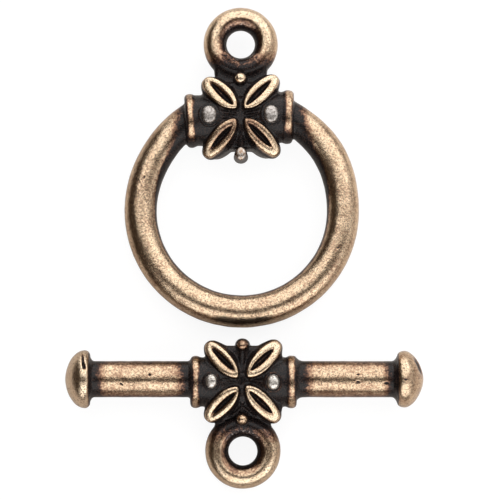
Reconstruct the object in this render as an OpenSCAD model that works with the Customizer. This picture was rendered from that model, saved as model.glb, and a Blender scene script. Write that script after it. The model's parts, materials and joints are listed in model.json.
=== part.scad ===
// Toggle clasp of cast metal, open: a ring half and a bar half lie apart with their flowers up.
// Each half is one casting. Millimetres, +Z up, and the origin is on the surface that carries both
// halves, under the middle of their common outline. +Y points from the bar half to the ring half.
// Each half is drawn flat around the middle of its flower, then tipped onto its own resting points.

/* [Ring] */
// Width of the ring over its wire
ring_w = 16; // [14:0.1:22]
// Diameter of the ring's wire
wire_d = 2.2; // [1.6:0.05:2.6]
// How much the radius of the two shoulders beside the flower exceeds the ring's own radius
shoulder_extra = 0.72; // [0.2:0.02:1.2]

/* [Bar] */
// Length of the bar from knob to knob
bar_len = 24.2; // [20:0.1:32]
// Diameter of the bar's two rods
rod_d = 2.45; // [1.8:0.05:2.8]
// Diameter of the end knobs
knob_d = 3.9; // [3.2:0.05:4.8]
// Sideways place of the flower and its eye against the bar's middle
bar_flower_side = -0.1; // [-0.4:0.02:0.4]
// Length of an end knob along the bar
knob_t = 1.75; // [1.5:0.05:2.4]
// Height of the dome on an end knob
knob_dome = 1.05; // [0.6:0.05:1.2]
// Chamfer of a knob's edge beside the rod
knob_chamfer = 0.22; // [0.1:0.02:0.4]

/* [Flower block] */
// Diameter of the barrel that carries the flower
barrel_d = 3.44; // [2.8:0.02:4]
// Diameter of the collars at the barrel's ends
collar_d = 3.56; // [3.2:0.02:4.4]
// Width of a collar along the barrel
collar_w = 0.64; // [0.4:0.02:0.9]
// Free length of the barrel between the two collars
collar_gap = 6.06; // [5.6:0.02:7]
// Width of the ground plate along the barrel
plate_x = 4.4; // [3.6:0.05:5]
// Width of the ground plate across the barrel
plate_y = 4.65; // [4:0.05:5.4]
// Height of the ground plate's face above the casting's middle plane
plate_top = 1.15; // [0.8:0.05:1.4]
// Depth of the ground plate's back under the casting's middle plane
plate_back = 0.9; // [0.6:0.05:1.3]
// Height of the sunken ground between the leaves above the middle plane
valley_z = 1.4; // [1.2:0.05:1.6]
// Length along the barrel that is sunk to that ground
valley_w = 3; // [2.4:0.05:3.6]

/* [Leaves] */
// Angle between each leaf and the barrel
leaf_angle = 46.5; // [42:0.5:50]
// Distance from the flower's middle to a leaf's inner tip
leaf_start = 0.45; // [0.3:0.05:0.7]
// Length of a leaf
leaf_len = 3.34; // [2.8:0.02:3.6]
// Width of a leaf
leaf_w = 1.6; // [1.3:0.02:1.8]
// Height of the leaves' dome above the middle plane
leaf_top = 2; // [1.8:0.05:2.3]
// Radius of the dome that the leaves' faces follow
leaf_dome_r = 9; // [7:0.5:14]
// How far the leaves' undersides stay above the ground plate's back
leaf_back_in = 0.1; // [0.05:0.05:0.3]
// Length of the slit in a leaf
slit_len = 2.1; // [1.6:0.05:2.4]
// Width of the slit in a leaf
slit_w = 0.5; // [0.3:0.02:0.7]
// How much nearer the flower's middle a slit sits than the middle of its leaf
slit_inward = 0.08; // [0:0.02:0.2]
// Depth of the slit's floor under the top of the leaves' dome
slit_depth = 0.8; // [0.5:0.05:1]

/* [Beads] */
// Diameter of the beads between the leaves
bead_d = 1; // [0.7:0.05:1.2]
// Diameter of the foot that carries each end bead
bead_foot_d = 1.05; // [0.8:0.05:1.3]
// Distance of the side beads' middles from the collars
side_bead_in = 0.92; // [0.7:0.02:1.2]
// How far the end beads' middles lie outside the ground plate
end_bead_out = 0.1; // [0:0.05:0.3]
// Height of the end beads' middles above the middle plane
end_bead_z = 1.25; // [0.9:0.05:1.5]

/* [Eyes] */
// Outer diameter of an eye
eye_d = 5.05; // [4.4:0.05:6]
// Diameter of an eye's hole
eye_hole_d = 2; // [1.4:0.05:2.4]
// Thickness of an eye
eye_t = 1.9; // [1.6:0.05:2.2]
// Distance from the flower's middle to the hole, on the ring half
ring_eye_reach = 5.06; // [4.7:0.02:6]
// Distance from the flower's middle to the hole, on the bar half
bar_eye_reach = 4.81; // [4.7:0.02:6]
// Width of the neck between a ground plate and its eye
neck_w = 3.5; // [2.6:0.05:4]
// Thickness of that neck
neck_t = 1.5; // [1:0.05:1.8]

/* [Lying apart] */
// Free distance, seen from above, between the ring's edge and the bar half's end bead
halves_gap = 0.78; // [0.3:0.02:4]
// Sideways place of the ring half's middle against the bar half's middle
ring_side = -0.26; // [-2:0.02:2]

/* [Hidden] */
$fn = 96;
bronze = [0.66, 0.5, 0.36];

ring_r = (ring_w - wire_d) / 2;
shoulder_r = ring_r + shoulder_extra;
collar_x = (collar_gap + collar_w) / 2;
// The shoulders' centre line crosses the middle of each collar on the barrel's axis
ring_drop = sqrt(pow(shoulder_r, 2) - pow(collar_x + shoulder_extra, 2));
// Share of its diameter by which the wire runs past each collar's middle, into the barrel
wire_sink = 0.3;
wire_end_x = collar_x - wire_sink * wire_d;
shoulder_turn = acos((wire_end_x + shoulder_extra) / shoulder_r);

// Share of a collar's width that its flat core fills inside the round rim
collar_core = 0.8;
knob_dome_r = (pow(knob_d / 2, 2) + pow(knob_dome, 2)) / (2 * knob_dome);
knob_inner_x = bar_len / 2 - knob_t;

eye_mid_r = (eye_d - eye_t) / 2;
side_bead_x = collar_gap / 2 - side_bead_in;
end_bead_y = plate_y / 2 + end_bead_out;
slit_start = leaf_start + (leaf_len - slit_len) / 2 - slit_inward;
// How far a cutting shape stands past the metal that it cuts
over = 0.5;

// The ring half lies on its collars and the far side of its wire, the bar half on its knobs and eye
ring_tilt = asin((collar_d - wire_d) / 2 / (ring_drop + ring_r));
bar_tilt = asin((knob_d - eye_t) / 2 / (bar_eye_reach + eye_mid_r));
ring_up = (ring_eye_reach + eye_mid_r) * cos(ring_tilt) + eye_t / 2;
ring_down = (ring_drop + ring_r) * cos(ring_tilt) + wire_d / 2;
bar_up = max(end_bead_y + bead_d / 2, knob_d / 2);
bar_down = (bar_eye_reach + eye_mid_r) * cos(bar_tilt) + eye_t / 2;
outline_y = ring_up + ring_down + halves_gap + bar_up + bar_down;
ring_y = outline_y / 2 - ring_up;
bar_y = bar_down - outline_y / 2;

// Pointed leaf outline from the origin along +X, between two arcs
module leaf_outline(len, w) {
    arc_r = (pow(len, 2) + pow(w, 2)) / (4 * w);
    translate([len / 2, 0])
        intersection() {
            translate([0, arc_r - w / 2]) circle(r = arc_r);
            translate([0, w / 2 - arc_r]) circle(r = arc_r);
        }
}

// One leaf with its slit, from the back of the ground plate up to the leaves' common dome
module leaf() {
    difference() {
        intersection() {
            translate([leaf_start, 0, leaf_back_in - plate_back])
                linear_extrude(height = plate_back + leaf_top) leaf_outline(leaf_len, leaf_w);
            translate([0, 0, leaf_top - leaf_dome_r]) sphere(r = leaf_dome_r);
        }
        translate([slit_start, 0, leaf_top - slit_depth])
            linear_extrude(height = slit_depth + over) leaf_outline(slit_len, slit_w);
    }
}

// Barrel along X, sunk between the leaves
module barrel() {
    difference() {
        rotate([0, 90, 0]) cylinder(d = barrel_d, h = 2 * collar_x, center = true);
        translate([-valley_w / 2, -barrel_d, valley_z]) cube([valley_w, 2 * barrel_d, barrel_d]);
    }
}

// Round-edged collar in the YZ plane
module collar() {
    rotate([0, 90, 0])
        rotate_extrude() {
            translate([0, -collar_core * collar_w / 2])
                square([(collar_d - collar_w) / 2, collar_core * collar_w]);
            translate([(collar_d - collar_w) / 2, 0]) circle(d = collar_w);
        }
}

// Bead on its foot at one end of the ground plate
module end_bead() {
    translate([0, 0, end_bead_z]) sphere(d = bead_d);
    translate([0, 0, -plate_back / 2]) cylinder(d = bead_foot_d, h = end_bead_z + plate_back / 2);
}

// Barrel, collars, ground plate, leaves and beads, the same on both halves
module flower_block() {
    barrel();
    translate([-plate_x / 2, -plate_y / 2, -plate_back]) cube([plate_x, plate_y, plate_back + plate_top]);
    for (side = [-1, 1]) {
        translate([side * collar_x, 0, 0]) collar();
        translate([side * side_bead_x, 0, barrel_d / 2]) sphere(d = bead_d);
        translate([0, side * end_bead_y, 0]) end_bead();
    }
    for (turn = [leaf_angle, 180 - leaf_angle, 180 + leaf_angle, -leaf_angle])
        rotate([0, 0, turn]) leaf();
}

// Eye with a straight-walled hole, its neck leading back to a flower whose middle is reach away along -Y
module eye(reach) {
    rotate_extrude()
        difference() {
            translate([eye_mid_r, 0]) circle(d = eye_t);
            translate([0, -eye_t]) square([eye_hole_d / 2, 2 * eye_t]);
        }
    neck_len = reach - plate_y / 2 - eye_hole_d / 2;
    translate([-neck_w / 2, plate_y / 2 - reach - over, -neck_t / 2])
        cube([neck_w, neck_len / 2 + over, neck_t]);
}

// Round wire bent to part of a ring around the origin, from the +X axis on
module bent_wire(r, turn) {
    rotate_extrude(angle = turn) translate([r, 0]) circle(d = wire_d);
}

// Lower half ring and the two flatter shoulders that lead up into the flower block
module ring_wire() {
    rotate([0, 0, 180]) bent_wire(ring_r, 180);
    for (flip = [0, 1])
        mirror([flip, 0, 0]) translate([-shoulder_extra, 0, 0]) bent_wire(shoulder_r, shoulder_turn);
}

// Domed knob along +X, its flat side at the origin
module knob() {
    rotate([0, 90, 0])
        rotate_extrude()
            intersection() {
                polygon([[0, 0], [knob_d / 2 - knob_chamfer, 0], [knob_d / 2, knob_chamfer],
                         [knob_d / 2, knob_t], [0, knob_t]]);
                translate([0, knob_t - knob_dome_r]) circle(r = knob_dome_r);
            }
}

// Ring half, tipped onto its collars and the far side of its wire
module toggle_ring() {
    color(bronze)
        translate([ring_side, ring_y, collar_d / 2])
            rotate([ring_tilt, 0, 0]) {
                flower_block();
                translate([0, -ring_drop, 0]) ring_wire();
                translate([0, ring_eye_reach, 0]) eye(ring_eye_reach);
            }
}

// Bar half, tipped onto its knobs and eye
module toggle_bar() {
    color(bronze)
        translate([0, bar_y, knob_d / 2])
            rotate([bar_tilt, 0, 0]) {
                translate([bar_flower_side, 0, 0]) flower_block();
                rotate([0, 90, 0]) cylinder(d = rod_d, h = 2 * knob_inner_x + knob_chamfer, center = true);
                for (flip = [0, 1]) mirror([flip, 0, 0]) translate([knob_inner_x, 0, 0]) knob();
                translate([bar_flower_side, -bar_eye_reach, 0]) rotate([0, 0, 180]) eye(bar_eye_reach);
            }
}

toggle_ring();
toggle_bar();
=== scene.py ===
"""A cast toggle clasp lying open with its flowers up: the ring half, and below it the bar half.

Each half is one casting. It is modelled flat around the middle of its flower, in millimetres, then tipped
onto its resting points and brought to metres, where the solids of the frame lie.
"""
import json
import math
from collections import namedtuple

import bpy
import numpy as np
from mathutils import Matrix, Vector
from mathutils.bvhtree import BVHTree


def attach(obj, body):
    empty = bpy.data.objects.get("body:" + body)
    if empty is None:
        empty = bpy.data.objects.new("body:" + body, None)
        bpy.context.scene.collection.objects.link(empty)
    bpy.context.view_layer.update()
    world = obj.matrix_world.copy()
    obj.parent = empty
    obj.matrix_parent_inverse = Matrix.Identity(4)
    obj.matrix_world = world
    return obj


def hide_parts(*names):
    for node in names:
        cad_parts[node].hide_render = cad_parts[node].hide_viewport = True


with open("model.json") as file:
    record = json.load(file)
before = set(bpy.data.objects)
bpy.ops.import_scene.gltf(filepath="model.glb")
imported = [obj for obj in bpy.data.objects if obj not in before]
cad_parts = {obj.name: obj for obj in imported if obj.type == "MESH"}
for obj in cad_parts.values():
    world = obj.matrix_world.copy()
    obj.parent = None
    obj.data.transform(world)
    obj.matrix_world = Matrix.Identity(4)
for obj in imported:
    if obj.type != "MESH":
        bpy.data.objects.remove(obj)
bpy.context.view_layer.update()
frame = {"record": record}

MM = 0.001

# Sizes of the castings in millimetres: the solids' own, but for some changed after the photograph
RING_W = 16.0
WIRE_D = 2.2
RING_R = (RING_W - WIRE_D) / 2
SHOULDER_EXTRA = 0.72
SHOULDER_R = RING_R + SHOULDER_EXTRA
RING_SHIFT = 0.08
BAR_LEN = 24.2
ROD_D = 2.45
ROD_SIDE = 0.04
CORE_D = 3.1
COLLAR_STEP = 0.11
COLLAR_X = 3.35
PLATE_X = 5.1
PLATE_Y = 4.6
PLATE_TOP = 1.0
PLATE_BACK = 0.9
VALLEY_Z = 1.3
VALLEY_R = 2.6
EYE_D = 5.1
EYE_HOLE_D = 1.94
EYE_T = 1.9
RING_EYE_REACH = 5.06
BAR_EYE_REACH = 4.81
BAR_FLOWER_SIDE = -0.1
NECK_T = 1.2
NECK_IN_PLATE = 0.5
NECK_OFF_HOLE = 0.25
EDGE_ROUND = 0.3
COLLAR_RIM_R = 0.3
VALLEY_HALF = 3
# Share of its diameter by which the wire's ends sink into the collars
WIRE_SINK = 0.3
# More than any distance between the wire and a collar
FAR_FROM_COLLAR = 9.0
# How far before the middle of the right collar the rods' thin stretch ends
ROD_ENDS_IN = 0.2
RING_DROP = math.sqrt(SHOULDER_R ** 2 - (COLLAR_X + SHOULDER_EXTRA) ** 2)
EYE_MID_R = (EYE_D + EYE_HOLE_D) / 4
EYE_SECTION_R = (EYE_D - EYE_HOLE_D) / 4

# Leaves: the dome that their rims follow, and how pointed the outlines' two ends are
LEAF_FOOT = -0.8
LEAF_TOP = 2.0
LEAF_DOME_R = 6.3
LEAF_CORNERS = 64
ROOT_POINT = 1.33
TIP_POINT = 0.80
SLIT_POINT = 1.5
END_SPREAD = 0.8

# Cups around the side beads, and feet of the end beads
CUP_WIDER = 0.24
CUP_WIRE_R = 0.08
CUP_SUNK = 0.04
FOOT_WIDER = 0.04
FOOT_SPREAD = (1.2, 1.05, 1)

# Wear and painted sheen around an eye, by the distance from the middle of its hole: where the dark slope ends,
# where the gold is full, where the slope's own gold comes in, which is partly painted sheen, and where its
# grey bloom, a painted sheen, comes in and goes out
EYE_DARK_R = 1.22
EYE_FULL_R = 1.52
EYE_SLOPE_GOLD_AND_SHEEN_R = (1.10, 1.25)
EYE_SHEEN_IN_R = (1.08, 1.18)
EYE_SHEEN_OUT_R = (1.62, 1.42)
EYE_SHEEN = 0.36
EYE_GOLD = 0.97
EYE_FAR_GOLD = 0.22

# Meshing: how fine the two castings are modelled
SOFT_VOXEL = 0.05
CRISP_VOXEL = 0.045
SOFT_PASSES = 14
CRISP_PASSES = 2
MOST_TRIANGLES = 192000
UNEVEN_SIZE = 0.7
UNEVEN_HEIGHT = 0.027
# A flaw's share of its depth at its middle, where more than 1 leaves its floor flat, and its fall outwards
FLAW_FULL = 1.6
FLAW_FALL = 1.1

# What is measured on the skin: rays from each corner, their reach and their start above it, and how often
# marks and relief are averaged
SKY_RAYS = 18
SKY_REACH = 1.6
SKY_START = 0.02
MARK_PASSES = 2
RELIEF_PASSES = 8

# Turned shells: steps around, longest face along, and the steps and the power of a flare
TURN_STEPS = 96
LONGEST_FACE = 0.25
FLARE_STEPS = 6
FLARE_POWER = 2.2

# One leaf of a flower, seen from above: tip and root of its rim and of its slit, both widths, and the share
# of its gold at its root
Leaf = namedtuple("Leaf", "tip_x tip_y root_x root_y width "
                          "slit_tip_x slit_tip_y slit_root_x slit_root_y slit_width root_gold")
# A bead: its place, three diameters, power of its dome, where less is fuller, the gold and silver on its top,
# and the gold on its cup
Bead = namedtuple("Bead", "x y z wide long high fullness gold silver cup")
# A raised line or a fold: its two ends, width and gold
Ridge = namedtuple("Ridge", "x0 y0 z0 x1 y1 z1 wide gold")
# A small flaw: its place, its length, width and height, turn from the bar's line in degrees, and depth
Flaw = namedtuple("Flaw", "x y z long wide tall turn deep")
# A collar: its place, lean, diameter and width, how far down its rim is gold, and that gold's place and width
Collar = namedtuple("Collar", "x y lean diameter width dark_end gold_x gold_width")
# A ring of corners around a leaf: share of the way to the slit, spread at its sides, pull back at its tip,
# height, and gold of the wall below, where more than 1 shows brown even in a hollow
LeafRing = namedtuple("LeafRing", "share spread back z gold")
# An end knob: its side, length, place of its widest ring, its rim's height there, diameter, fullness of its
# dome, and gold
Knob = namedtuple("Knob", "way length wide_at rim diameter fullness gold")
# A flare of the rods, seen from its knob or collar: place and radius of its wide end, place of its thin end
Flare = namedtuple("Flare", "wide_x wide_r thin_x")
# A push of the ring's wire: where, which way, and how far around it reaches
Push = namedtuple("Push", "at by reach")

LEAF_RINGS = [
    LeafRing(0.00, 0.18, 0.40, LEAF_FOOT, 0.0),
    LeafRing(0.00, 0.13, 0.18, 0.60, 0.15),
    LeafRing(0.00, 0.07, 0.03, 1.35, 0.30),
    LeafRing(0.00, 0.02, 0.00, 1.66, 0.35),
    LeafRing(0.05, 0.00, 0.00, 1.86, 0.8),
    LeafRing(0.18, 0.00, 0.00, 1.97, 1.1),
    LeafRing(0.45, 0.00, 0.00, LEAF_TOP, 1.3),
    LeafRing(0.72, 0.00, 0.00, 1.99, 1.3),
    LeafRing(0.90, 0.00, 0.00, 1.94, 1.1),
    LeafRing(1.02, 0.00, 0.00, 1.80, 0.6),
    LeafRing(1.12, 0.00, 0.00, 1.58, 1.1),
    LeafRing(1.28, 0.00, 0.00, 1.50, 1.1),
]
# The mound below a leaf, which melts into the ground
MOUND_RINGS = [
    LeafRing(0.00, 0.30, 0.50, LEAF_FOOT, 0.0),
    LeafRing(0.00, 0.25, 0.22, 0.60, 0.0),
    LeafRing(0.00, 0.19, 0.06, 1.10, 0.0),
    LeafRing(0.00, 0.09, 0.00, 1.42, 0.0),
    LeafRing(0.25, 0.00, 0.00, 1.55, 0.0),
]
RING_LEAVES = [
    Leaf(-2.50, 2.48, -0.26, 0.35, 1.46, -2.05, 2.20, -0.56, 0.60, 0.34, 0.92),
    Leaf(2.49, 2.70, 0.25, 0.35, 1.35, 2.04, 2.32, 0.38, 0.56, 0.35, 0.95),
    Leaf(-2.40, -2.86, -0.28, -0.33, 1.36, -2.01, -2.36, -0.64, -0.90, 0.31, 0.62),
    Leaf(2.54, -2.76, 0.28, -0.34, 1.36, 2.08, -2.21, 0.55, -0.73, 0.34, 0.62),
]
BAR_LEAVES = [
    Leaf(-2.53, 2.50, -0.43, 0.14, 1.30, -2.19, 2.17, -0.71, 0.68, 0.32, 0.88),
    Leaf(2.37, 2.55, 0.20, 0.18, 1.36, 1.92, 2.06, 0.44, 0.68, 0.34, 0.96),
    Leaf(-2.53, -2.72, -0.41, -0.44, 1.35, -2.19, -2.34, -0.60, -0.82, 0.30, 0.92),
    Leaf(2.30, -2.78, 0.10, -0.35, 1.33, 1.85, -2.21, 0.34, -0.76, 0.33, 0.96),
]
RING_BEADS = [
    Bead(-2.14, -0.07, 1.76, 1.02, 1.21, 0.66, 0.55, 0.0, 1.0, 0.0),
    Bead(2.08, -0.03, 1.76, 1.01, 1.21, 0.66, 0.55, 0.0, 1.0, 0.0),
    Bead(-0.01, 2.50, 1.27, 0.78, 0.78, 0.76, 0.8, 1.3, 0.0, 0.0),
    Bead(0.02, -2.70, 1.37, 0.76, 0.94, 0.56, 0.6, 1.0, 0.5, 0.0),
]
BAR_BEADS = [
    Bead(-2.22, -0.07, 1.76, 0.74, 0.94, 0.66, 0.6, 0.0, 1.4, 0.2),
    Bead(1.93, -0.13, 1.76, 0.84, 1.00, 0.66, 0.6, 0.0, 1.4, 0.3),
    Bead(-0.12, 2.34, 1.24, 0.78, 0.72, 0.78, 0.9, 0.75, 0.0, 0.3),
    Bead(-0.15, -2.62, 1.24, 0.78, 0.78, 0.80, 1.0, 0.95, 0.0, 0.0),
]
RING_COLLARS = [
    Collar(-3.40, -0.24, 0.06, 3.70, 0.74, -0.60, 0.00, 0.36),
    Collar(3.20, 0.03, -0.03, 3.70, 0.80, -0.50, 0.10, 0.46),
]
BAR_COLLARS = [
    Collar(-3.28, -0.15, 0.0, 3.54, 0.74, -0.95, 0.02, 0.36),
    Collar(3.16, -0.15, 0.0, 3.58, 0.74, -0.95, 0.04, 0.38),
]
# Thin raised lines on the dark ground, and thick soft folds, of which two cross below the ring's eye
RING_RIDGES = [
    Ridge(-1.35, 0.12, 1.66, -0.35, 0.07, 1.34, 0.17, 0.0),
    Ridge(-1.35, -0.22, 1.66, -0.60, -0.20, 1.38, 0.17, 0.0),
    Ridge(0.30, 0.07, 1.33, 1.30, 0.20, 1.64, 0.17, 0.0),
    Ridge(0.30, -0.22, 1.33, 1.20, -0.24, 1.60, 0.17, 0.0),
]
RING_FOLDS = [
    Ridge(-1.25, 4.31, 0.66, -0.15, 3.42, 0.66, 0.62, 0.45),
    Ridge(1.10, 4.10, 0.66, 0.28, 3.36, 0.62, 0.56, 0.50),
    Ridge(0.0, -0.50, 1.24, 0.02, -2.20, 1.00, 0.40, 0.0),
]
BAR_FOLDS = [
    Ridge(-0.18, 0.40, 1.24, -0.14, 2.00, 1.00, 0.40, 0.0),
    Ridge(-0.16, -0.45, 1.24, -0.14, -1.60, 1.02, 0.36, 0.0),
]
BAR_RIDGES = [
    Ridge(-1.50, 0.02, 1.70, -0.50, 0.02, 1.36, 0.17, 0.0),
    Ridge(0.35, 0.02, 1.34, 1.30, -0.10, 1.64, 0.17, 0.0),
    Ridge(-0.80, -2.42, 1.04, -0.13, -1.80, 1.18, 0.19, 0.0),
    Ridge(-0.13, -1.80, 1.18, 0.60, -2.42, 1.04, 0.19, 0.0),
    Ridge(-1.75, -2.82, 0.64, -0.90, -2.46, 0.95, 0.19, 0.0),
    Ridge(0.70, -2.46, 0.95, 1.65, -2.82, 0.64, 0.19, 0.0),
]
RING_FLAWS = [
    Flaw(4.32, -11.55, 0.20, 0.22, 0.16, 0.8, 45, 0.06),
    Flaw(-6.55, -4.30, 1.02, 0.16, 0.10, 0.8, 60, 0.03),
    Flaw(6.62, -9.10, 1.00, 0.18, 0.10, 0.8, 40, 0.03),
]
# The last three are the left knob's slit-shaped dent, in two parts, and the right knob's dark streak
BAR_FLAWS = [
    Flaw(-6.37, 0.35, 1.18, 0.15, 0.15, 0.8, 0, 0.06),
    Flaw(-8.27, -0.26, 1.18, 0.26, 0.10, 0.8, -40, 0.05),
    Flaw(7.64, -0.13, 1.20, 0.24, 0.15, 0.8, 0, 0.06),
    Flaw(7.66, 0.37, 1.17, 0.20, 0.09, 0.8, 10, 0.03),
    Flaw(9.56, -0.21, 1.20, 0.30, 0.15, 0.8, 0, 0.05),
    Flaw(10.83, 0.05, 1.93, 0.22, 0.16, 0.8, 0, 0.07),
    Flaw(-10.84, 1.25, 1.42, 1.00, 0.15, 2.4, -83, 0.11),
    Flaw(-10.76, 0.95, 1.62, 0.46, 0.22, 1.4, -68, 0.10),
    Flaw(11.76, 0.95, 0.52, 1.20, 0.36, 0.8, -65, 0.15),
]
LEFT_KNOB = Knob(-1, 1.68, 0.36, 0.37, 3.92, 1.88, 1.35)
RIGHT_KNOB = Knob(1, 1.77, 0.51, 0.30, 3.84, 1.68, 1.0)
LEFT_KNOB_FLARE = Flare(-0.02, 1.62, 0.24)
LEFT_COLLAR_FLARE = Flare(-0.20, 1.50, -0.44)
RIGHT_COLLAR_FLARE = Flare(0.05, 1.60, 0.60)
RIGHT_KNOB_FLARE = Flare(0.02, 1.66, -0.36)
RING_PUSHES = [
    Push((6.0, -2.6, 0), (0.12, 0.07, 0), 4.5),
    Push((-5.6, -2.6, 0), (0.06, -0.05, 0), 4.0),
]


def deselect():
    """Leaves edit mode and deselects every object"""
    if bpy.context.mode != "OBJECT":
        bpy.ops.object.mode_set(mode="OBJECT")
    bpy.ops.object.select_all(action="DESELECT")


def take(piece):
    """Makes a piece the only one selected, and active"""
    deselect()
    piece.select_set(True)
    bpy.context.view_layer.objects.active = piece


def settle(piece):
    """Applies a piece's place, turn and scale, so that its mesh holds them"""
    take(piece)
    bpy.ops.object.transform_apply(location=True, rotation=True, scale=True)
    return piece


def added(name):
    """The primitive that was just added, under its name, with its place in its mesh"""
    piece = bpy.context.object
    piece.name = name
    return settle(piece)


def cylinder(name, radius, low, high, axis="Z", corners=64, at=(0, 0, 0)):
    """Closed cylinder between two stations on an axis through a point"""
    turn = {"Y": (-math.pi / 2, 0, 0), "Z": (0, 0, 0)}[axis]
    middle = Vector(at) + Vector({"Y": (0, 1, 0), "Z": (0, 0, 1)}[axis]) * (low + high) / 2
    bpy.ops.mesh.primitive_cylinder_add(
        vertices=corners, radius=radius, depth=high - low, location=middle, rotation=turn)
    return added(name)


def block(name, low, high):
    """Closed box between two corners"""
    low, high = Vector(low), Vector(high)
    bpy.ops.mesh.primitive_cube_add(size=1, location=(low + high) / 2, scale=high - low)
    return added(name)


def ball(name, at, wide, long, high):
    """Closed ellipsoid of three diameters"""
    bpy.ops.mesh.primitive_uv_sphere_add(
        segments=32, ring_count=16, radius=0.5, location=at, scale=(wide, long, high))
    return added(name)


def edit(piece, kind, chosen):
    """Opens a piece in edit mode with the corners, edges or faces selected for which chosen is true"""
    take(piece)
    bpy.ops.object.mode_set(mode="EDIT")
    bpy.ops.mesh.select_mode(type={"vertices": "VERT", "edges": "EDGE", "polygons": "FACE"}[kind])
    bpy.ops.mesh.select_all(action="DESELECT")
    bpy.ops.object.mode_set(mode="OBJECT")
    for item in getattr(piece.data, kind):
        item.select = chosen(item)
    bpy.ops.object.mode_set(mode="EDIT")


def change(piece, kind, **settings):
    """Adds a modifier to a piece and applies it"""
    take(piece)
    modifier = piece.modifiers.new(kind.title(), kind)
    for name, value in settings.items():
        setattr(modifier, name, value)
    bpy.ops.object.modifier_apply(modifier=modifier.name)
    return piece


def cut(piece, tool):
    """Cuts a closed tool shape out of a piece"""
    change(piece, "BOOLEAN", operation="DIFFERENCE", object=tool, solver="EXACT")
    bpy.data.objects.remove(tool)


def join(name, pieces):
    """Joins pieces to one object"""
    deselect()
    for piece in pieces:
        piece.select_set(True)
    bpy.context.view_layer.objects.active = pieces[0]
    bpy.ops.object.join()
    piece = bpy.context.object
    piece.name = name
    return piece


def outward(piece):
    """Turns all faces of a closed piece outwards"""
    edit(piece, "polygons", lambda face: True)
    bpy.ops.mesh.remove_doubles(threshold=0.0001)
    bpy.ops.mesh.normals_make_consistent(inside=False)
    deselect()


def rounded(piece):
    """Rounds a piece's sharp edges"""
    change(piece, "BEVEL", width=EDGE_ROUND, segments=3, limit_method="ANGLE", angle_limit=math.radians(40))


def pushed(piece, row):
    """Pushes the corner nearest a point, and with it the metal around, as a finger pushes wax"""
    # Its number is kept, because a switch of mode leaves a kept corner pointing at nothing
    nearest = min(piece.data.vertices, key=lambda corner: (corner.co - Vector(row.at)).length).index
    edit(piece, "vertices", lambda corner: corner.index == nearest)
    bpy.ops.transform.translate(value=row.by, use_proportional_edit=True, proportional_edit_falloff="SMOOTH",
                                proportional_size=row.reach)
    deselect()


def shell(name, corners, faces, edges=()):
    """A new piece from its corners and faces"""
    mesh = bpy.data.meshes.new(name)
    mesh.from_pydata(corners, edges, faces)
    piece = bpy.data.objects.new(name, mesh)
    bpy.context.scene.collection.objects.link(piece)
    return piece


def turned(name, stations, at=(0, 0, 0), lean=0.0):
    """Closed shell turned around X from stations of x and radius, then leaned and placed"""
    line = [(stations[0][0], 0), stations[0]]
    for one, two in zip(stations, stations[1:]):
        parts = max(1, math.ceil(abs(two[0] - one[0]) / LONGEST_FACE))
        line += [tuple(Vector(one).lerp(Vector(two), i / parts)) for i in range(1, parts + 1)]
    line.append((stations[-1][0], 0))
    links = [(i, i + 1) for i in range(len(line) - 1)]
    piece = shell(name, [(x, radius, 0) for x, radius in line], [], links)
    change(piece, "SCREW", axis="X", steps=TURN_STEPS, render_steps=TURN_STEPS, use_merge_vertices=True)
    outward(piece)
    piece.matrix_world = Matrix.Translation(at) @ Matrix.Rotation(lean, 4, "Z")
    return settle(piece)


def quarter(x, radius, reach_x, reach_r, from_deg, to_deg, fullness=2.0, steps=14):
    """Stations of an oval arc around a point of the profile, from an angle to another, seen from +X"""
    stations = []
    for i in range(steps + 1):
        angle = math.radians(from_deg + (to_deg - from_deg) * i / steps)
        along, out = (math.copysign(abs(part) ** (2 / fullness), part)
                      for part in (math.cos(angle), math.sin(angle)))
        stations.append((x + reach_x * along, radius + reach_r * out))
    return stations


def flare(beside_x, row, thin):
    """Stations of a hollow flare beside a knob or a collar, from its wide end to its thin one"""
    x_wide, x_thin = beside_x + row.wide_x, beside_x + row.thin_x
    shares = [i / FLARE_STEPS for i in range(FLARE_STEPS + 1)]
    return [(x_wide + (x_thin - x_wide) * share, thin + (row.wide_r - thin) * (1 - share) ** FLARE_POWER)
            for share in shares]


def share_of(value, low, high):
    """0 at low, 1 at high, and straight between"""
    return min(1.0, max(0.0, (value - low) / (high - low)))


def scaled_end(prism, height, about, factors):
    """Scales the corners of a prism that lie at a height, about a point"""
    edit(prism, "vertices", lambda corner: abs(corner.co.z - height) < 0.001)
    bpy.ops.transform.resize(value=factors, center_override=about)
    deselect()


def marked(piece, gold=0.0, silver=0.0):
    """Marks a shell's faces with their wear to gold and their silver, which on the eyes' slopes is a painted
    sheen, each a number or a function of the face
    """
    for name, rule in (("gold_mark", gold), ("silver_mark", silver)):
        values = [rule(face) if callable(rule) else rule for face in piece.data.polygons]
        piece.data.attributes.new(name, "FLOAT", "FACE").data.foreach_set("value", values)
    return piece


def oval(length, width, root_point, tip_point):
    """Leaf outline from the origin along +X: 1 at an end is round, more is pointed, less is blunt"""
    points = []
    for i in range(LEAF_CORNERS):
        turn = 2 * math.pi * i / LEAF_CORNERS
        along, out = (1 - math.cos(turn)) / 2, math.sin(turn)
        point = root_point + (tip_point - root_point) * along
        points.append(Vector((length * along, width / 2 * math.copysign(abs(out) ** point, out), 0)))
    return points


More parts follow.
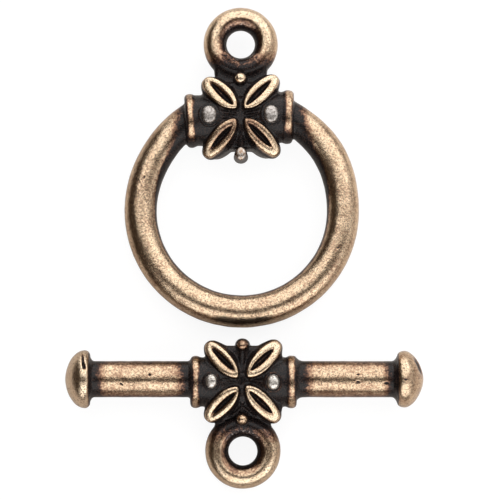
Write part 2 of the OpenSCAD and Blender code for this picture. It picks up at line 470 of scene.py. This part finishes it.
def leaf(name, row, rings):
    """A leaf, or the mound below it, in rings from its foot up over the rim and down into the slit"""
    root, tip = Vector((row.root_x, row.root_y, 0)), Vector((row.tip_x, row.tip_y, 0))
    slit_root = Vector((row.slit_root_x, row.slit_root_y, 0))
    slit_tip = Vector((row.slit_tip_x, row.slit_tip_y, 0))
    length, slit_length = (tip - root).length, (slit_tip - slit_root).length
    angle = math.atan2(tip.y - root.y, tip.x - root.x)
    slit_angle = math.atan2(slit_tip.y - slit_root.y, slit_tip.x - slit_root.x)
    into_leaf = Matrix.Rotation(-angle, 4, "Z") @ Matrix.Translation(slit_root - root)
    into_leaf = into_leaf @ Matrix.Rotation(slit_angle, 4, "Z")
    outline = oval(length, row.width, ROOT_POINT, TIP_POINT)
    slit = [into_leaf @ point for point in oval(slit_length, row.slit_width, SLIT_POINT, SLIT_POINT)]
    middle = Vector((length / 2, 0, 0))
    corners = []
    for ring in rings:
        for outer, inner in zip(outline, slit):
            point = outer.lerp(inner, ring.share)
            away = Vector(((point.x - middle.x) / length * END_SPREAD, point.y / row.width * 2, 0))
            point = point + away * ring.spread - Vector((ring.back * (outer.x / length) ** 2, 0, 0))
            drop = point.x ** 2 / (2 * LEAF_DOME_R) * share_of(ring.z, LEAF_FOOT, LEAF_TOP)
            corners.append((point.x, point.y, ring.z - drop))
    count = LEAF_CORNERS
    faces = []
    for i in range(len(rings) - 1):
        below, above = i * count, (i + 1) * count
        for j in range(count):
            after = (j + 1) % count
            faces.append([below + j, below + after, above + after, above + j])
    faces += [list(range(count))[::-1], list(range(len(corners) - count, len(corners)))]
    piece = shell(name, corners, faces)

    def worn(face):
        along = share_of(face.center.x, 0.1 * length, 0.9 * length)
        left = row.root_gold + (1 - row.root_gold) * along ** 2
        return rings[min(face.index // count + 1, len(rings) - 1)].gold * left

    marked(piece, worn)
    piece.matrix_world = Matrix.Translation(root) @ Matrix.Rotation(angle, 4, "Z")
    return settle(piece)


def collar(name, row):
    """Collar with a round rim, leaning a little in its plane seen from above"""
    rim = row.diameter / 2 - COLLAR_RIM_R
    stations = quarter(0, rim, row.width / 2, COLLAR_RIM_R, 180, 0, fullness=2.2, steps=20)
    piece = turned(name, stations, (row.x, row.y, 0), row.lean)

    def worn(face):
        """Along the rim's crest, least halfway, and not at its lower end seen from above"""
        along = face.center.y - row.y
        across = abs(face.center.x - row.x - row.gold_x + along * math.sin(row.lean))
        half = row.gold_width / 2 * (0.60 + 0.40 * min(1.0, (along / 1.1) ** 2))
        crest = share_of(across, half + 0.16, half - 0.04)
        return 0.92 * crest * share_of(face.normal.y, row.dark_end - 0.3, row.dark_end)

    return marked(piece, worn)


def flower(name, collars):
    """Barrel between two collars, and the ground plate, around the origin"""
    left, right = collars
    half = (right.x - left.x) / 2
    lean = math.atan2(right.y - left.y, right.x - left.x)
    at = ((left.x + right.x) / 2, (left.y + right.y) / 2, 0)
    core = turned(f"{name}_core", [(-half, CORE_D / 2), (half, CORE_D / 2)], at, lean)
    barrel_r = (left.diameter + right.diameter) / 4 - COLLAR_STEP
    barrel = turned(f"{name}_barrel", [(-half, barrel_r), (half, barrel_r)], at, lean)
    for piece in (core, barrel):
        valley = cylinder("valley", VALLEY_R, -VALLEY_HALF, VALLEY_HALF, axis="Y", corners=128,
                          at=(0, 0, VALLEY_Z + VALLEY_R))
        cut(piece, valley)
    plate = block(f"{name}_plate", (-PLATE_X / 2, -PLATE_Y / 2, -PLATE_BACK),
                  (PLATE_X / 2, PLATE_Y / 2, PLATE_TOP))
    rounded(plate)
    return [marked(piece) for piece in (core, barrel, plate)]


def beads(name, rows):
    """Beads between the leaves, in thin cups, and the feet of the two end ones"""
    pieces = []
    for i, row in enumerate(rows):
        bead = ball(f"{name}_bead_{i}", (0, 0, 0), row.wide, row.long, row.high)
        for corner in bead.data.vertices:
            up = corner.co.z / row.high * 2
            corner.co.z = row.high / 2 * math.copysign(abs(up) ** row.fullness, up)
        bead.location = (row.x, row.y, row.z)
        settle(bead)

        def top(face):
            return share_of(face.center.z, row.z + 0.02, row.z + 0.12)

        pieces.append(marked(bead, lambda face: row.gold * top(face), lambda face: row.silver * top(face)))
        if abs(row.y) > 1:
            foot = cylinder(f"{name}_foot_{i}", row.wide * 0.5 + FOOT_WIDER, -PLATE_BACK / 2, row.z,
                            at=(row.x, row.y, 0))
            scaled_end(foot, -PLATE_BACK / 2, (row.x, row.y, 0), FOOT_SPREAD)
            pieces.append(marked(foot))
        else:
            bpy.ops.mesh.primitive_torus_add(
                major_segments=48, minor_segments=10, major_radius=0.5, minor_radius=CUP_WIRE_R,
                location=(row.x, row.y, row.z - CUP_SUNK))
            cup = bpy.context.object
            cup.scale = (row.wide + CUP_WIDER, row.long + CUP_WIDER, 1)
            pieces.append(marked(added(f"{name}_cup_{i}"), row.cup))
    return pieces


def ridges(name, rows):
    """Raised lines on the ground"""
    pieces = []
    for i, row in enumerate(rows):
        one, two = Vector((row.x0, row.y0, row.z0)), Vector((row.x1, row.y1, row.z1))
        ridge = cylinder(f"{name}_ridge_{i}", row.wide / 2, 0, (two - one).length, corners=12)
        turn = (two - one).to_track_quat("Z", "Y").to_matrix().to_4x4()
        ridge.matrix_world = Matrix.Translation(one) @ turn
        pieces.append(marked(settle(ridge), row.gold))
    return pieces


def eye(name, reach, way, side, dark_side, slope_gold_and_sheen, neck_wide, neck_spread):
    """Eye with a drilled hole, and the neck that leads back to the flower"""
    centre = Vector((side, way * reach, 0))
    bpy.ops.mesh.primitive_torus_add(
        major_segments=128, minor_segments=48, major_radius=EYE_MID_R, minor_radius=EYE_SECTION_R,
        location=centre)
    ring = bpy.context.object
    ring.scale.z = EYE_T / 2 / EYE_SECTION_R
    ring = added(name)
    cut(ring, cylinder(f"{name}_drill", EYE_HOLE_D / 2, -2, 2, at=centre, corners=96))

    def stands_free(face):
        """Dark around the hole, farther out on its far side, and towards the neck, and brightest far out"""
        away = face.center - centre
        out = math.hypot(away.x, away.y)
        dark = dark_side * max(0.0, way * away.y / out)
        free = share_of(out, EYE_DARK_R + dark, EYE_FULL_R + dark)
        # Brown on the slope into the hole: partly wear, and partly painted sheen for the light that the glossy
        # patina mirrors there
        free = max(free, slope_gold_and_sheen * share_of(out, *EYE_SLOPE_GOLD_AND_SHEEN_R))
        bright = EYE_GOLD + EYE_FAR_GOLD * share_of(way * away.y, -0.3, 0.8)
        return bright * free * share_of(way * away.y, -2.0, -0.5)

    def painted_sheen(face):
        """Painted sheen: a faint grey bloom on the slope into the hole, where the glossy patina mirrors light,
        most at the top seen from above
        """
        away = face.center - centre
        out = math.hypot(away.x, away.y)
        bloom = EYE_SHEEN * share_of(out, *EYE_SHEEN_IN_R) * share_of(out, *EYE_SHEEN_OUT_R)
        return bloom * share_of(away.y / out, -0.4, 0.6)

    near, far = sorted((way * (PLATE_Y / 2 - NECK_IN_PLATE), way * (reach - EYE_HOLE_D / 2 - NECK_OFF_HOLE)))
    neck = block(f"{name}_neck", (side - neck_wide / 2, near, -NECK_T / 2),
                 (side + neck_wide / 2, far, NECK_T / 2))
    edit(neck, "vertices", lambda corner: way * corner.co.y > PLATE_Y / 2)
    bpy.ops.transform.resize(value=(neck_spread, 1, 1), center_override=(side, 0, 0))
    deselect()
    rounded(neck)
    return [marked(ring, stands_free, painted_sheen), marked(neck)]


def ring_wire():
    """Round wire from one collar to the other: a shoulder, half the ring and the other shoulder"""
    sink = WIRE_SINK * WIRE_D
    turn = math.acos((COLLAR_X - sink + SHOULDER_EXTRA) / SHOULDER_R)
    start = math.pi - turn
    centre = Vector((RING_SHIFT, -RING_DROP, 0))
    aside = Vector((SHOULDER_EXTRA, 0, 0))
    place = centre + aside + SHOULDER_R * Vector((math.cos(start), math.sin(start), 0))
    bpy.ops.mesh.primitive_circle_add(vertices=64, radius=WIRE_D / 2, fill_type="NGON", location=place,
                                      rotation=(math.pi / 2, 0, start))
    wire = added("wire")
    edit(wire, "polygons", lambda face: True)
    bends = ((centre + aside, turn, 48), (centre, math.pi, 128), (centre - aside, turn, 48))
    for middle, angle, steps in bends:
        bpy.ops.mesh.spin(steps=steps, angle=angle, center=middle, axis=(0, 0, -1))
    deselect()
    outward(wire)
    for row in RING_PUSHES:
        pushed(wire, row)

    def worn(face):
        """Least near the collars and on the side that faces into the ring"""
        inward = -face.normal.dot((face.center - centre).normalized())
        edge = 0.96 - 0.34 * share_of(face.center.y, -6.5, -3.0)
        beyond = abs(face.center.x) - COLLAR_X if face.center.y > -3.5 else FAR_FROM_COLLAR
        fade = 0.35 + 0.7 * share_of(inward, -0.6, 0.8)
        return share_of(beyond, fade, fade + 1.0) * share_of(inward, edge, edge - 0.2)

    return marked(wire, worn)


def knob(name, row):
    """Domed end knob with a round rim"""
    wide_r = row.diameter / 2
    inner_x = BAR_LEN / 2 - row.length
    widest = inner_x + row.wide_at
    stations = quarter(widest, wide_r - row.rim, row.wide_at, row.rim, 180, 90)
    stations += quarter(widest, 0, row.length - row.wide_at, wide_r, 90, 2, row.fullness, steps=24)[1:]
    piece = turned(name, stations)
    if row.way < 0:
        piece.matrix_world = Matrix.Rotation(math.pi, 4, "Z")
    piece.location.y = ROD_SIDE
    settle(piece)

    # Worn all over but for the face towards the rod
    return marked(piece, lambda face: row.gold * share_of(row.way * face.normal.x, -0.95, -0.6))


def rods(left, right):
    """The bar's two rods, with a hollow flare where each meets a collar or a knob"""
    thin = ROD_D / 2
    left_x, right_x = BAR_LEN / 2 - left.length, BAR_LEN / 2 - right.length
    stations = flare(-left_x, LEFT_KNOB_FLARE, thin)
    stations += flare(-COLLAR_X, LEFT_COLLAR_FLARE, thin)[::-1]
    stations += [(-COLLAR_X, thin), (COLLAR_X - ROD_ENDS_IN, thin)]
    stations += flare(COLLAR_X, RIGHT_COLLAR_FLARE, thin)
    stations += flare(right_x, RIGHT_KNOB_FLARE, thin)[::-1]
    piece = turned("rods", stations, (0, ROD_SIDE, 0))

    def worn(face):
        along = abs(face.center.x)
        knob_x = left_x if face.center.x < 0 else right_x
        ends = share_of(along, COLLAR_X + 0.45, COLLAR_X + 1.35) * share_of(knob_x - along, 0.25, 1.0)
        # Less gold on the rods' sides than on their tops: partly wear, and partly painted shade for their
        # darker edges
        return 0.95 * ends * (0.62 + 0.38 * share_of(face.normal.z, 0.35, 0.85))

    return marked(piece, worn)


def ring_half():
    """Shells of the ring half: those that melt softly, and those that stay crisp"""
    soft = flower("ring_flower", RING_COLLARS) + [ring_wire()]
    soft += eye("ring_eye", RING_EYE_REACH, 1, 0.0,
                dark_side=0.28, slope_gold_and_sheen=0.5, neck_wide=3.4, neck_spread=1.1)
    soft += [collar(f"ring_collar_{i}", row) for i, row in enumerate(RING_COLLARS)]
    soft += [leaf(f"ring_mound_{i}", row, MOUND_RINGS) for i, row in enumerate(RING_LEAVES)]
    soft += ridges("ring_fold", RING_FOLDS)
    crisp = [leaf(f"ring_leaf_{i}", row, LEAF_RINGS) for i, row in enumerate(RING_LEAVES)]
    return soft, crisp + beads("ring", RING_BEADS) + ridges("ring", RING_RIDGES)


def bar_half():
    """Shells of the bar half: those that melt softly, and those that stay crisp"""
    soft = flower("bar_flower", BAR_COLLARS)
    soft += eye("bar_eye", BAR_EYE_REACH, -1, BAR_FLOWER_SIDE,
                dark_side=0.16, slope_gold_and_sheen=0.62, neck_wide=3.35, neck_spread=1.2)
    soft += [collar(f"bar_collar_{i}", row) for i, row in enumerate(BAR_COLLARS)]
    soft += [rods(LEFT_KNOB, RIGHT_KNOB), knob("knob_right", RIGHT_KNOB)]
    soft += [leaf(f"bar_mound_{i}", row, MOUND_RINGS) for i, row in enumerate(BAR_LEAVES)]
    soft += ridges("bar_fold", BAR_FOLDS)
    crisp = [leaf(f"bar_leaf_{i}", row, LEAF_RINGS) for i, row in enumerate(BAR_LEAVES)]
    crisp.append(knob("knob_left", LEFT_KNOB))
    return soft, crisp + beads("bar", BAR_BEADS) + ridges("bar", BAR_RIDGES)


def marks_of(shells):
    """Search tree over all faces of the shells, and their gold and silver marks, the silver ones also holding
    the eyes' painted sheen
    """
    corners, faces, marks = [], [], []
    for piece in shells:
        base = len(corners)
        corners += [corner.co.copy() for corner in piece.data.vertices]
        faces += [[base + i for i in face.vertices] for face in piece.data.polygons]
        gold, silver = piece.data.attributes["gold_mark"].data, piece.data.attributes["silver_mark"].data
        marks += [(one.value, two.value) for one, two in zip(gold, silver)]
    return BVHTree.FromPolygons(corners, faces), np.array(marks)


def flawed(piece, rows):
    """Presses the small flaws into a casting's skin, and returns how far each corner lies in one"""
    mesh = piece.data
    points = np.empty(len(mesh.vertices) * 3)
    normals = np.empty(len(mesh.vertices) * 3)
    mesh.vertices.foreach_get("co", points)
    mesh.vertices.foreach_get("normal", normals)
    points, normals = points.reshape(-1, 3), normals.reshape(-1, 3)
    inside = np.zeros(len(points))
    for row in rows:
        away = points - np.array((row.x, row.y, row.z))
        turn = math.radians(row.turn)
        along = (away[:, 0] * math.cos(turn) + away[:, 1] * math.sin(turn)) / (row.long / 2)
        across = (away[:, 1] * math.cos(turn) - away[:, 0] * math.sin(turn)) / (row.wide / 2)
        up = away[:, 2] / (row.tall / 2)
        share = np.clip(FLAW_FULL - FLAW_FALL * np.sqrt(along ** 2 + across ** 2 + up ** 2), 0, 1)
        points -= normals * (share * row.deep)[:, None]
        inside = np.maximum(inside, share)
    mesh.vertices.foreach_set("co", points.ravel())
    mesh.update()
    return inside


def largest_part(piece):
    """The largest part of a piece, without the bubbles that melting left inside, which are removed"""
    name = piece.name
    edit(piece, "polygons", lambda face: True)
    bpy.ops.mesh.separate(type="LOOSE")
    bpy.ops.object.mode_set(mode="OBJECT")
    parts = sorted(bpy.context.selected_objects, key=lambda part: len(part.data.vertices))
    for part in parts[:-1]:
        bpy.data.objects.remove(part)
    parts[-1].name = name
    return parts[-1]


def cast(name, shells, flaws):
    """Melts the shells to one casting, first the soft, then the crisp ones, and makes its skin uneven"""
    soft, crisp = shells
    body = change(join(name, soft), "REMESH", mode="VOXEL", voxel_size=SOFT_VOXEL)
    change(body, "SMOOTH", factor=0.5, iterations=SOFT_PASSES)
    body = change(join(name, [body] + crisp), "REMESH", mode="VOXEL", voxel_size=CRISP_VOXEL)
    change(body, "SMOOTH", factor=0.5, iterations=CRISP_PASSES)
    clouds = bpy.data.textures.new("uneven_skin", "CLOUDS")
    clouds.noise_scale = UNEVEN_SIZE
    change(body, "DISPLACE", texture=clouds, texture_coords="LOCAL", strength=UNEVEN_HEIGHT, mid_level=0.5)
    flawed(body, flaws)
    triangles = sum(len(face.vertices) - 2 for face in body.data.polygons)
    change(body, "DECIMATE", decimate_type="COLLAPSE", ratio=min(1, MOST_TRIANGLES / triangles))
    return largest_part(body)


def neighbours(piece):
    """Both corners of every edge, as two columns of numbers"""
    pairs = np.empty(len(piece.data.edges) * 2, np.int64)
    piece.data.edges.foreach_get("vertices", pairs)
    return pairs.reshape(-1, 2)


def softened(points, pairs, passes):
    """Points after each was averaged with its neighbours, some times over"""
    count = len(points)
    one, two = np.concatenate((pairs[:, 0], pairs[:, 1])), np.concatenate((pairs[:, 1], pairs[:, 0]))
    share = 1 / np.bincount(one, minlength=count)
    for _ in range(passes):
        mean = np.stack([np.bincount(one, column[two], count) * share for column in points.T], 1)
        points = (points + mean) / 2
    return points


def sky_seen(piece, points, normals):
    """Share of the sky that each point sees, past the metal within reach"""
    faces = [list(face.vertices) for face in piece.data.polygons]
    tree = BVHTree.FromPolygons([Vector(point) for point in points], faces)
    turns = [math.pi * (3 - math.sqrt(5)) * i for i in range(SKY_RAYS)]
    lifts = [math.sqrt(1 - (i + 0.5) / SKY_RAYS) for i in range(SKY_RAYS)]
    rays = []
    for turn, lift in zip(turns, lifts):
        flat = math.sqrt(1 - lift * lift)
        rays.append(Vector((math.cos(turn) * flat, math.sin(turn) * flat, lift)))
    seen = np.zeros(len(points))
    for i, (point, normal) in enumerate(zip(points, normals)):
        normal = Vector(normal)
        start = Vector(point) + normal * SKY_START
        turn = normal.to_track_quat("Z", "Y")
        for ray in rays:
            hit = tree.ray_cast(start, turn @ ray, SKY_REACH)[3]
            seen[i] += 1 if hit is None else hit / SKY_REACH
    return seen / SKY_RAYS


def measured(piece, tree, marks, flaws):
    """Gives a casting its attributes: gold and silver of the nearest shell, the silver with the eyes' painted
    sheen, sky, and fine relief
    """
    sound = 1 - flawed(piece, [row._replace(deep=0.0) for row in flaws])
    mesh = piece.data
    points = np.empty(len(mesh.vertices) * 3)
    mesh.vertices.foreach_get("co", points)
    points = points.reshape(-1, 3)
    normals = np.empty(len(mesh.vertices) * 3)
    mesh.vertices.foreach_get("normal", normals)
    normals = normals.reshape(-1, 3)
    pairs = neighbours(piece)
    nearest = marks[[tree.find_nearest(point)[2] for point in points]]
    values = np.column_stack((nearest, sky_seen(piece, points, normals)))
    gold, silver, sky = softened(values, pairs, MARK_PASSES).T
    rows = {
        "gold": gold * sound,
        "silver": silver,
        "sky": sky,
        "relief": np.einsum("ij,ij->i", points - softened(points, pairs, RELIEF_PASSES), normals),
    }
    for name, values in rows.items():
        mesh.attributes.new(name, "FLOAT", "POINT").data.foreach_set("value", values.astype(np.float32))
    return piece


def laid(piece, eye_name, reach, side):
    """Tips a flat casting onto its resting points, where the eye's hole of the solids says"""
    mount = next(row for row in frame["record"]["mounts"] if row["name"] == eye_name)
    tip = Matrix.Rotation(math.atan2(-mount["axis"][1], mount["axis"][2]), 4, "X")
    flower_at = Vector(mount["pos_m"]) - tip @ Vector((side, reach, 0)) * MM
    piece.matrix_world = Matrix.Translation(flower_at) @ tip @ Matrix.Scale(MM, 4)
    settle(piece)


def casting(name, shells, flaws, eye_name, reach, side, node):
    """Makes and lays one half, gives it its material, hangs it from the root body and hides its solid"""
    tree, marks = marks_of(shells[0] + shells[1])
    piece = measured(cast(name, shells, flaws), tree, marks, flaws)
    laid(piece, eye_name, reach, side)
    piece.data.materials.clear()
    piece.data.materials.append(BRONZE)
    take(piece)
    bpy.ops.object.shade_smooth()
    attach(piece, "root")
    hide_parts(node)


class Nodes:
    """Short way to build a node tree"""

    def __init__(self, tree):
        self.tree = tree

    def add(self, kind, inputs=None, **settings):
        node = self.tree.nodes.new(kind)
        for name, value in settings.items():
            setattr(node, name, value)
        for name, value in (inputs or {}).items():
            if isinstance(value, bpy.types.NodeSocket):
                self.tree.links.new(value, node.inputs[name])
            else:
                node.inputs[name].default_value = value
        return node

    def math(self, operation, *values):
        node = self.add("ShaderNodeMath", dict(enumerate(values)), operation=operation)
        return node.outputs[0]

    def ramp(self, value, low, high):
        """0 at low, 1 at high, smooth between"""
        node = self.add("ShaderNodeMapRange", {"Value": value, "From Min": low, "From Max": high},
                        interpolation_type="SMOOTHSTEP")
        return node.outputs["Result"]

    def mix(self, share, one, two):
        """Colour one where share is 0, two where it is 1"""
        node = self.add("ShaderNodeMix", data_type="RGBA")
        for socket, value in ((0, share), (6, one), (7, two)):
            if isinstance(value, bpy.types.NodeSocket):
                self.tree.links.new(value, node.inputs[socket])
            else:
                node.inputs[socket].default_value = value
        return node.outputs[2]

    def around(self, value, amount):
        """A value that lies around one half, made to lie around zero and scaled"""
        return self.math("MULTIPLY", self.math("SUBTRACT", value, 0.5), amount)

    def number_mix(self, share, one, two):
        """Number one where share is 0, two where it is 1"""
        node = self.add("ShaderNodeMix", {"Factor": share, "A": one, "B": two})
        return node.outputs["Result"]

    def noise(self, where, per_mm, detail=3.0, roughness=0.55):
        node = self.add("ShaderNodeTexNoise", {"Vector": where, "Scale": per_mm / MM, "Detail": detail,
                                               "Roughness": roughness})
        return node.outputs["Fac"]


PATINA = (0.006, 0.0055, 0.006, 1)
BROWN = (0.090, 0.048, 0.038, 1)
WORN_DULL = (0.33, 0.195, 0.125, 1)
WORN_GOLD = (0.70, 0.525, 0.355, 1)
BRIGHT_GOLD = (0.80, 0.63, 0.455, 1)
PIT = (0.050, 0.029, 0.023, 1)
# Silver of the beads, whose colours also paint the grey sheen on the eyes' slopes
SILVER_DULL = (0.20, 0.175, 0.160, 1)
SILVER = (0.53, 0.495, 0.465, 1)
BRIGHT_SILVER = (0.80, 0.76, 0.70, 1)
# Range of wear over which each colour comes in over the one before, and over which patina turns to metal
BROWN_WEAR = (0.27, 0.56)
DULL_WEAR = (0.40, 0.75)
GOLD_WEAR = (0.65, 1.10)
BRIGHT_WEAR = (1.05, 1.40)
METAL_WEAR = (0.27, 0.52)
# Sky seen in a hollow without wear and where wear is full, and how much relief, grain and blotches change it
OPEN_SKY = (0.35, 0.80)
RELIEF_WEAR = 3.0
GRAIN_WEAR = 1.9
BLOTCH_WEAR = 0.7
SILVER_GRAIN_WEAR = 0.8
PIT_SHARE = 0.75
BUMP_HEIGHT = 0.000011
SPECULAR_LEVEL = 0.22
GOLD_ROUGHNESS = 0.21
SILVER_ROUGHNESS = 0.34


def bronze_material():
    """Antiqued bronze: black in the hollows, worn to gold on what stands out"""
    material = bpy.data.materials.new("antique_bronze_worn")
    material.use_nodes = True
    tree = material.node_tree
    tree.nodes.clear()
    nodes = Nodes(tree)
    where = nodes.add("ShaderNodeTexCoord").outputs["Object"]
    gold, silver, sky, relief = (nodes.add("ShaderNodeAttribute", attribute_name=name).outputs["Fac"]
                                 for name in ("gold", "silver", "sky", "relief"))
    blotch = nodes.noise(where, 0.9, detail=3.0)
    grain = nodes.noise(where, 6.5, detail=4.0, roughness=0.78)
    fine = nodes.noise(where, 13.0, detail=2.0, roughness=0.6)
    # Wear runs from 0 in the hollows to 1 on what stands free
    wear = nodes.math("MULTIPLY", gold, nodes.ramp(sky, *OPEN_SKY))
    wear = nodes.math("ADD", wear, nodes.math("MULTIPLY", relief, RELIEF_WEAR))
    wear = nodes.math("ADD", wear, nodes.around(grain, GRAIN_WEAR))
    wear = nodes.math("ADD", wear, nodes.around(blotch, BLOTCH_WEAR))
    colour = nodes.mix(nodes.ramp(wear, *BROWN_WEAR), PATINA, BROWN)
    colour = nodes.mix(nodes.ramp(wear, *DULL_WEAR), colour, WORN_DULL)
    colour = nodes.mix(nodes.ramp(wear, *GOLD_WEAR), colour, WORN_GOLD)
    colour = nodes.mix(nodes.ramp(wear, *BRIGHT_WEAR), colour, BRIGHT_GOLD)
    pits = nodes.ramp(fine, 0.52, 0.61)
    colour = nodes.mix(nodes.math("MULTIPLY", pits, PIT_SHARE), colour, PIT)
    # Silver on the bead tops, and the eyes' grey painted sheen, both drawn with the silver colours
    silver_and_sheen_share = nodes.ramp(nodes.math("ADD", silver, nodes.around(grain, SILVER_GRAIN_WEAR)), 0.35, 0.60)
    silver_and_sheen_colour = nodes.mix(nodes.ramp(silver, 1.0, 1.3), SILVER, BRIGHT_SILVER)
    silver_and_sheen_colour = nodes.mix(nodes.ramp(grain, 0.38, 0.60), SILVER_DULL, silver_and_sheen_colour)
    colour = nodes.mix(silver_and_sheen_share, colour, silver_and_sheen_colour)
    metal = nodes.math("MAXIMUM", nodes.ramp(wear, *METAL_WEAR), silver_and_sheen_share)
    height = nodes.math("ADD", grain, nodes.math("MULTIPLY", fine, 0.5))
    bump = nodes.add("ShaderNodeBump", {"Strength": 1.0, "Distance": BUMP_HEIGHT, "Height": height})
    rough = nodes.number_mix(silver_and_sheen_share, GOLD_ROUGHNESS, SILVER_ROUGHNESS)
    surface = nodes.add("ShaderNodeBsdfPrincipled", {
        "Base Color": colour, "Metallic": metal, "Specular IOR Level": SPECULAR_LEVEL, "Roughness": rough,
        "Normal": bump.outputs["Normal"]})
    output = nodes.add("ShaderNodeOutputMaterial")
    tree.links.new(surface.outputs[0], output.inputs["Surface"])
    return material


# The floor as the camera sees it, and as the metal mirrors it: far out, and near it on two sides, of which the
# south-west one is darker as painted shade
FLOOR_SIZE = 3
FLOOR_SEEN = (0.93, 0.93, 0.93, 1)
FLOOR_FAR = (0.07, 0.06, 0.055, 1)
FLOOR_SHADED_SOUTH_WEST = (0.55, 0.50, 0.46, 1)
FLOOR_NORTH_EAST = (1.0, 0.95, 0.90, 1)
FLOOR_GLOW = 1.06
GLOW_SHARE = 0.85
ROOM_MIRRORED = (0.066, 0.050, 0.037, 1)
ROOM_SEEN = (0.92, 0.92, 0.92, 1)


def floor_material():
    """Pale matt floor, darker where the metal mirrors it"""
    material = bpy.data.materials.new("pale_floor")
    material.use_nodes = True
    tree = material.node_tree
    tree.nodes.clear()
    nodes = Nodes(tree)
    path = nodes.add("ShaderNodeLightPath")
    # The metal mirrors a floor that is pale right below it and dark farther out, as in a dark room
    steep = nodes.ramp(nodes.add("ShaderNodeLayerWeight", {"Blend": 0.5}).outputs["Facing"], 0.96, 0.74)
    place = nodes.add("ShaderNodeSeparateXYZ", {"Vector": nodes.add("ShaderNodeTexCoord").outputs["Object"]})
    # Painted shade: the floor that the metal mirrors is darker on its south-west half and pale on its
    # north-east half
    north_east = nodes.math("ADD", place.outputs["X"], place.outputs["Y"])
    pale = nodes.mix(nodes.ramp(north_east, -0.03, 0.04), FLOOR_SHADED_SOUTH_WEST, FLOOR_NORTH_EAST)
    mirrored = nodes.mix(steep, FLOOR_FAR, pale)
    colour = nodes.mix(path.outputs["Is Glossy Ray"], FLOOR_SEEN, mirrored)
    matt = nodes.add("ShaderNodeBsdfDiffuse", {"Color": colour})
    # A glow of the floor, which the camera alone sees, keeps the shadows faint
    lit = nodes.add("ShaderNodeEmission", {"Color": (1, 1, 1, 1), "Strength": FLOOR_GLOW})
    share = nodes.math("MULTIPLY", path.outputs["Is Camera Ray"], GLOW_SHARE)
    surface = nodes.add("ShaderNodeMixShader", {0: share, 1: matt.outputs[0], 2: lit.outputs[0]})
    output = nodes.add("ShaderNodeOutputMaterial")
    tree.links.new(surface.outputs[0], output.inputs["Surface"])
    return material


# A softbox: the side that it stands on, the angles from the camera's line between which it reaches, distance
# and width in millimetres, strength, and shift along its width
Softbox = namedtuple("Softbox", "name toward low_deg high_deg far wide strength shift")
SOFTBOXES = [
    Softbox("softbox_top", (0, 1, 0), 12, 82, 300, 570, 1.75, 66),
    Softbox("softbox_bottom", (0, -1, 0), 18, 72, 300, 570, 1.85, -66),
    Softbox("fill_right", (1, 0, 0), 46, 96, 300, 600, 0.8, 0),
    Softbox("fill_top", (0, 1, 0), 80, 103, 420, 600, 1.9, 0),
]


def softbox(row):
    """Softbox that fills the directions from low to high, in degrees from the camera's line, on one side"""
    middle = math.radians((row.low_deg + row.high_deg) / 2)
    half = math.radians((row.high_deg - row.low_deg) / 2)
    tall = 2 * row.far * math.tan(half)
    light = bpy.data.lights.new(row.name, "AREA")
    light.shape = "RECTANGLE"
    light.size = row.wide * MM
    light.size_y = tall * MM
    light.energy = row.strength * light.size * light.size_y * math.pi
    lamp = bpy.data.objects.new(row.name, light)
    bpy.context.scene.collection.objects.link(lamp)
    up = Vector((0, -math.sin(CAMERA_LEAN), math.cos(CAMERA_LEAN)))
    side = Vector(row.toward)
    side = (side - up * side.dot(up)).normalized()
    away = (up * math.cos(middle) + side * math.sin(middle)).normalized()
    across = side.cross(up).normalized()
    tallwise = away.cross(across)
    turn = Matrix((across, tallwise, away)).transposed().to_4x4()
    lamp.matrix_world = Matrix.Translation(LOOK_AT + (away * row.far + across * row.shift) * MM) @ turn
    lamp.visible_camera = False


CAMERA_LEAN = math.radians(10)
CAMERA_FAR = 260 * MM
LOOK_AT = Vector((0.381, -0.247, 1.5)) * MM
PHOTO_PX_PER_MM = 14.69
PHOTO_PX = 500
SENSOR_MM = 36.0


def photo_camera():
    """Camera almost straight above, as the photograph looks"""
    data = bpy.data.cameras.new("photo_camera")
    data.sensor_width = SENSOR_MM
    data.lens = SENSOR_MM * (CAMERA_FAR / MM) / (PHOTO_PX / PHOTO_PX_PER_MM)
    data.clip_start = 0.01
    data.clip_end = 20
    camera = bpy.data.objects.new("photo_camera", data)
    bpy.context.scene.collection.objects.link(camera)
    camera.matrix_world = (Matrix.Translation(LOOK_AT) @ Matrix.Rotation(CAMERA_LEAN, 4, "X")
                           @ Matrix.Translation((0, 0, CAMERA_FAR)))
    bpy.context.scene.camera = camera


def studio():
    """Floor, softboxes and a room that is pale for the camera and dim where the metal mirrors it"""
    bpy.ops.mesh.primitive_plane_add(size=FLOOR_SIZE, location=(0, 0, 0))
    floor = added("floor")
    floor.data.materials.append(floor_material())
    world = bpy.context.scene.world or bpy.data.worlds.new("room")
    bpy.context.scene.world = world
    world.use_nodes = True
    background = world.node_tree.nodes["Background"]
    room = Nodes(world.node_tree)
    seen = room.add("ShaderNodeLightPath").outputs["Is Camera Ray"]
    colour = room.mix(seen, ROOM_MIRRORED, ROOM_SEEN)
    world.node_tree.links.new(colour, background.inputs["Color"])
    for row in SOFTBOXES:
        softbox(row)
    bpy.context.scene.view_settings.view_transform = "Standard"


BRONZE = bronze_material()
photo_camera()
studio()
casting("toggle_ring_cast", ring_half(), RING_FLAWS, "ring_eye", RING_EYE_REACH, 0.0, "toggle_ring")
casting("toggle_bar_cast", bar_half(), BAR_FLAWS, "bar_eye", -BAR_EYE_REACH, BAR_FLOWER_SIDE, "toggle_bar")
